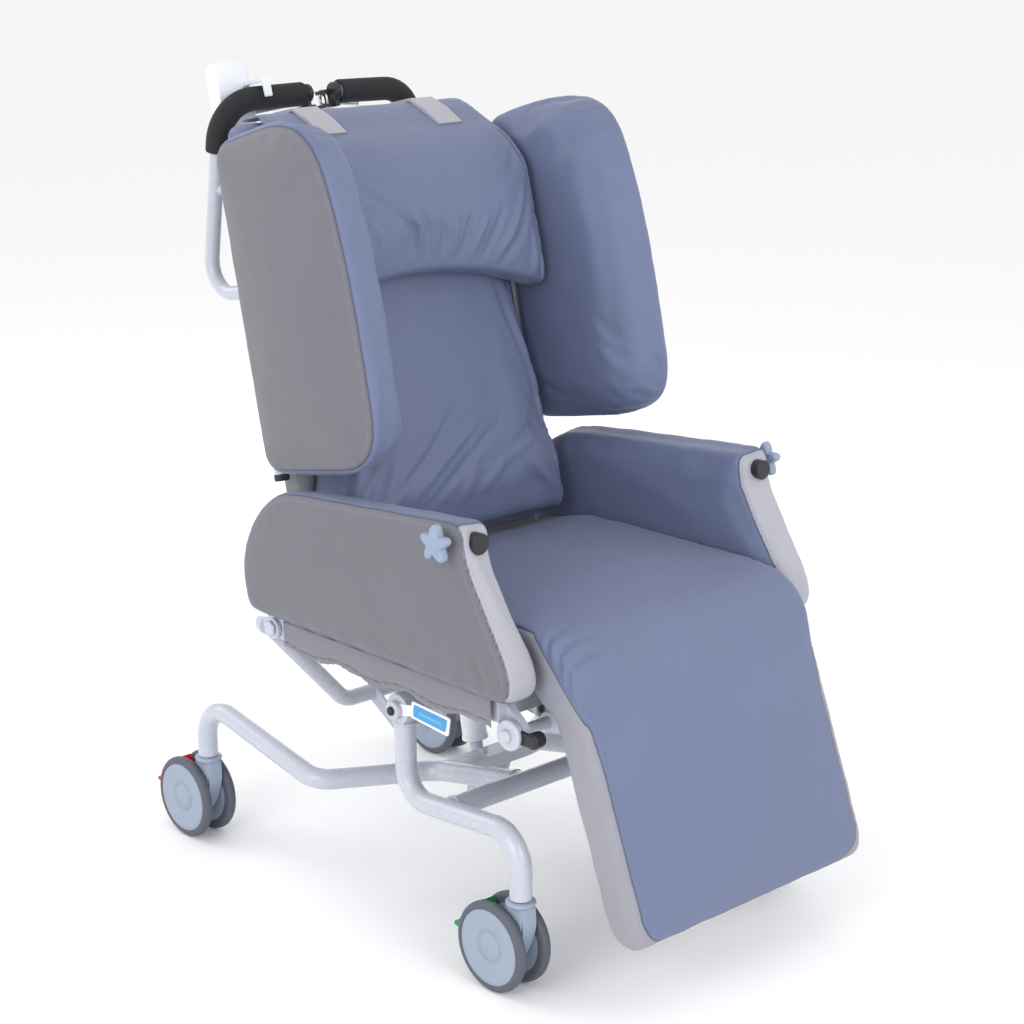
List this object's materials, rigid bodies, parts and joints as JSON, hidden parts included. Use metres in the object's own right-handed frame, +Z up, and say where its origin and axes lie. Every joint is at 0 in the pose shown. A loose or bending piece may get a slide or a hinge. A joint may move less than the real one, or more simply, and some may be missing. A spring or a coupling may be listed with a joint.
{
  "type": "reclining care chair",
  "caption": "Wheeled care chair with padded seat, back, side wings and legrest; seat tilt, back and legrest are moved by electric drives.",
  "frame": {"origin": "on the floor, under the middle of the chair's bounding box without its cord", "axes": "+Z up; the chair faces -Y; +X is the occupant's left"},
  "size_m": [0.644, 0.9914, 1.1608],
  "materials": {
    "white_steel": "white powder coat",
    "chrome": "bright",
    "blue_vinyl": "slate blue coated cloth",
    "grey_vinyl": "warm grey coated cloth",
    "black_plastic": "satin black",
    "caster_plastic": "satin pale grey",
    "wheel_tread": "pale discs with dark grey tyres",
    "knob_plastic": "satin grey-blue",
    "key_plastic": "satin",
    "white_plastic": "white",
    "red_plastic": "red",
    "green_plastic": "green",
    "foam": "black foam sleeve"
  },
  "bodies": {
    "base": {"base_frame": "white_steel"},
    "seat": {"seat_frame": "white_steel", "seat_pan": "grey_vinyl", "yoke_tube": "white_steel", "seat_cushion": "blue_vinyl", "knee_cushion": "blue_vinyl", "armrest_left": "grey_vinyl", "armrest_right": "grey_vinyl", "tray_socket_left": "black_plastic", "tray_socket_right": "black_plastic"},
    "legrest": {"legrest_frame": "white_steel", "legrest_cushion": "blue_vinyl"},
    "back": {"back_shell": "grey_vinyl", "back_cushion": "blue_vinyl", "head_pillow": "blue_vinyl", "push_handle_left": "white_steel", "push_handle_right": "white_steel", "foam_grip_left": "foam", "foam_grip_right": "foam", "control_box": "black_plastic", "control_panel": "white_plastic", "handset": "white_plastic", "cord_lead": "white_plastic", "cord_curl": "white_plastic", "cord_tail": "white_plastic"},
    "caster_front_left": {"caster_housing_front_left": "caster_plastic"},
    "wheels_front_left": {"caster_wheels_front_left": "wheel_tread"},
    "pedal_front_left": {"caster_pedal_front_left": "red_plastic"},
    "caster_front_right": {"caster_housing_front_right": "caster_plastic"},
    "wheels_front_right": {"caster_wheels_front_right": "wheel_tread"},
    "pedal_front_right": {"caster_pedal_front_right": "green_plastic"},
    "caster_rear_left": {"caster_housing_rear_left": "caster_plastic"},
    "wheels_rear_left": {"caster_wheels_rear_left": "wheel_tread"},
    "pedal_rear_left": {"caster_pedal_rear_left": "red_plastic"},
    "caster_rear_right": {"caster_housing_rear_right": "caster_plastic"},
    "wheels_rear_right": {"caster_wheels_rear_right": "wheel_tread"},
    "pedal_rear_right": {"caster_pedal_rear_right": "red_plastic"},
    "wing_left": {"wing_frame_left": "white_steel", "wing_cushion_left": "grey_vinyl"},
    "lever_left": {"hand_lever_left": "chrome"},
    "knob_left": {"arm_knob_left": "knob_plastic"},
    "wing_right": {"wing_frame_right": "white_steel", "wing_cushion_right": "grey_vinyl"},
    "lever_right": {"hand_lever_right": "chrome"},
    "knob_right": {"arm_knob_right": "knob_plastic"},
    "stop": {"stop_button": "red_plastic"},
    "key_1a": {"handset_key_1a": "key_plastic"},
    "key_1b": {"handset_key_1b": "key_plastic"},
    "key_2a": {"handset_key_2a": "key_plastic"},
    "key_2b": {"handset_key_2b": "key_plastic"},
    "key_3a": {"handset_key_3a": "key_plastic"},
    "key_3b": {"handset_key_3b": "key_plastic"},
    "recline_drive": {"recline_drive_housing": "white_plastic"},
    "recline_rod": {"recline_drive_rod": "chrome"},
    "tilt_drive": {"tilt_drive_housing": "white_plastic"},
    "tilt_rod": {"tilt_drive_rod": "chrome"},
    "legrest_drive": {"legrest_drive_housing": "white_plastic"},
    "legrest_rod": {"legrest_drive_rod": "chrome"}
  },
  "joints": [
    {"name": "tilt", "type": "hinge", "parent": "base", "child": "seat", "pos_m": [0, -0.0593, 0.331], "axis": [1, 0, 0], "range_deg": [-20, 12]},
    {"name": "recline", "type": "hinge", "parent": "seat", "child": "back", "pos_m": [0, 0.1927, 0.389], "axis": [-1, 0, 0], "range_deg": [0, 40]},
    {"name": "legrest", "type": "hinge", "parent": "seat", "child": "legrest", "pos_m": [0, -0.2913, 0.362], "axis": [-1, 0, 0], "range_deg": [0, 65], "deforming": ["knee_cushion"]},
    {"name": "swivel_front_left", "type": "hinge", "parent": "base", "child": "caster_front_left", "pos_m": [0.248, -0.3013, 0.125], "axis": [0, 0, 1], "continuous": true},
    {"name": "roll_front_left", "type": "hinge", "parent": "caster_front_left", "child": "wheels_front_left", "pos_m": [0.248, -0.2693, 0.0625], "axis": [1, 0, 0], "continuous": true},
    {"name": "pedal_front_left", "type": "hinge", "parent": "caster_front_left", "child": "pedal_front_left", "pos_m": [0.248, -0.2693, 0.0625], "axis": [-1, 0, 0], "range_deg": [0, 15]},
    {"name": "swivel_front_right", "type": "hinge", "parent": "base", "child": "caster_front_right", "pos_m": [-0.248, -0.3013, 0.125], "axis": [0, 0, 1], "continuous": true},
    {"name": "roll_front_right", "type": "hinge", "parent": "caster_front_right", "child": "wheels_front_right", "pos_m": [-0.248, -0.2693, 0.0625], "axis": [1, 0, 0], "continuous": true},
    {"name": "pedal_front_right", "type": "hinge", "parent": "caster_front_right", "child": "pedal_front_right", "pos_m": [-0.248, -0.2693, 0.0625], "axis": [-1, 0, 0], "range_deg": [0, 15]},
    {"name": "swivel_rear_left", "type": "hinge", "parent": "base", "child": "caster_rear_left", "pos_m": [0.248, 0.3887, 0.125], "axis": [0, 0, 1], "continuous": true},
    {"name": "roll_rear_left", "type": "hinge", "parent": "caster_rear_left", "child": "wheels_rear_left", "pos_m": [0.248, 0.4207, 0.0625], "axis": [1, 0, 0], "continuous": true},
    {"name": "pedal_rear_left", "type": "hinge", "parent": "caster_rear_left", "child": "pedal_rear_left", "pos_m": [0.248, 0.4207, 0.0625], "axis": [-1, 0, 0], "range_deg": [0, 15]},
    {"name": "swivel_rear_right", "type": "hinge", "parent": "base", "child": "caster_rear_right", "pos_m": [-0.248, 0.3887, 0.125], "axis": [0, 0, 1], "continuous": true},
    {"name": "roll_rear_right", "type": "hinge", "parent": "caster_rear_right", "child": "wheels_rear_right", "pos_m": [-0.248, 0.4207, 0.0625], "axis": [1, 0, 0], "continuous": true},
    {"name": "pedal_rear_right", "type": "hinge", "parent": "caster_rear_right", "child": "pedal_rear_right", "pos_m": [-0.248, 0.4207, 0.0625], "axis": [-1, 0, 0], "range_deg": [0, 15]},
    {"name": "wing_left", "type": "hinge", "parent": "back", "child": "wing_left", "pos_m": [0.242, 0.24488, 0.82987], "axis": [0, 0.225, 0.9744], "range_deg": [0, 95]},
    {"name": "lever_left", "type": "hinge", "parent": "back", "child": "lever_left", "pos_m": [0.016, 0.40913, 1.09676], "axis": [0, -0.225, -0.9744], "range_deg": [0, 6], "stiffness_Nm_per_rad": 2, "springref_deg": -2.86},
    {"name": "knob_left", "type": "hinge", "parent": "seat", "child": "knob_left", "pos_m": [0.314, -0.2063, 0.608], "axis": [1, 0, 0], "continuous": true},
    {"name": "wing_right", "type": "hinge", "parent": "back", "child": "wing_right", "pos_m": [-0.242, 0.24488, 0.82987], "axis": [0, -0.225, -0.9744], "range_deg": [0, 95]},
    {"name": "lever_right", "type": "hinge", "parent": "back", "child": "lever_right", "pos_m": [-0.016, 0.40913, 1.09676], "axis": [0, 0.225, 0.9744], "range_deg": [0, 6], "stiffness_Nm_per_rad": 2, "springref_deg": -2.86},
    {"name": "knob_right", "type": "hinge", "parent": "seat", "child": "knob_right", "pos_m": [-0.314, -0.2063, 0.608], "axis": [1, 0, 0], "continuous": true},
    {"name": "stop_press", "type": "slide", "parent": "back", "child": "stop", "axis": [0, -0.9744, 0.225], "range_m": [0, 0.004], "stiffness_N_per_m": 600, "springref_m": -0.002},
    {"name": "key_1a_press", "type": "slide", "parent": "back", "child": "key_1a", "axis": [0, -0.9744, 0.225], "range_m": [0, 0.0012], "stiffness_N_per_m": 500, "springref_m": -0.001},
    {"name": "key_1b_press", "type": "slide", "parent": "back", "child": "key_1b", "axis": [0, -0.9744, 0.225], "range_m": [0, 0.0012], "stiffness_N_per_m": 500, "springref_m": -0.001},
    {"name": "key_2a_press", "type": "slide", "parent": "back", "child": "key_2a", "axis": [0, -0.9744, 0.225], "range_m": [0, 0.0012], "stiffness_N_per_m": 500, "springref_m": -0.001},
    {"name": "key_2b_press", "type": "slide", "parent": "back", "child": "key_2b", "axis": [0, -0.9744, 0.225], "range_m": [0, 0.0012], "stiffness_N_per_m": 500, "springref_m": -0.001},
    {"name": "key_3a_press", "type": "slide", "parent": "back", "child": "key_3a", "axis": [0, -0.9744, 0.225], "range_m": [0, 0.0012], "stiffness_N_per_m": 500, "springref_m": -0.001},
    {"name": "key_3b_press", "type": "slide", "parent": "back", "child": "key_3b", "axis": [0, -0.9744, 0.225], "range_m": [0, 0.0012], "stiffness_N_per_m": 500, "springref_m": -0.001},
    {"name": "recline_drive_swing", "type": "hinge", "parent": "back", "child": "recline_drive", "pos_m": [0, 0.2967, 0.491], "axis": [1, 0, 0], "range_deg": [-1, 27.06]},
    {"name": "recline_rod_slide", "type": "slide", "parent": "recline_drive", "child": "recline_rod", "axis": [0, -0.2749, -0.9615], "range_m": [-0.06613, 0.0005]},
    {"name": "tilt_drive_swing", "type": "hinge", "parent": "seat", "child": "tilt_drive", "pos_m": [0.012, 0.1057, 0.352], "axis": [1, 0, 0], "range_deg": [-10.94, 17.56]},
    {"name": "tilt_rod_slide", "type": "slide", "parent": "tilt_drive", "child": "tilt_rod", "axis": [0, -0.1919, -0.9814], "range_m": [-0.05628, 0.03397]},
    {"name": "legrest_drive_swing", "type": "hinge", "parent": "seat", "child": "legrest_drive", "pos_m": [-0.08, 0.0237, 0.345], "axis": [1, 0, 0], "range_deg": [-2.09, 1]},
    {"name": "legrest_rod_slide", "type": "slide", "parent": "legrest_drive", "child": "legrest_rod", "axis": [0, -0.9949, -0.1011], "range_m": [-0.0005, 0.05484]}
  ],
  "couplings": [
    {"joint": "recline_drive_swing", "follows": "recline", "ratio": 0.6514},
    {"joint": "recline_rod_slide", "follows": "recline", "m_per_rad": -0.094011},
    {"joint": "tilt_drive_swing", "follows": "tilt", "ratio": -0.8282},
    {"joint": "tilt_rod_slide", "follows": "tilt", "m_per_rad": 0.15979},
    {"joint": "legrest_drive_swing", "follows": "legrest", "ratio": -0.0167},
    {"joint": "legrest_rod_slide", "follows": "legrest", "m_per_rad": 0.047899}
  ]
}
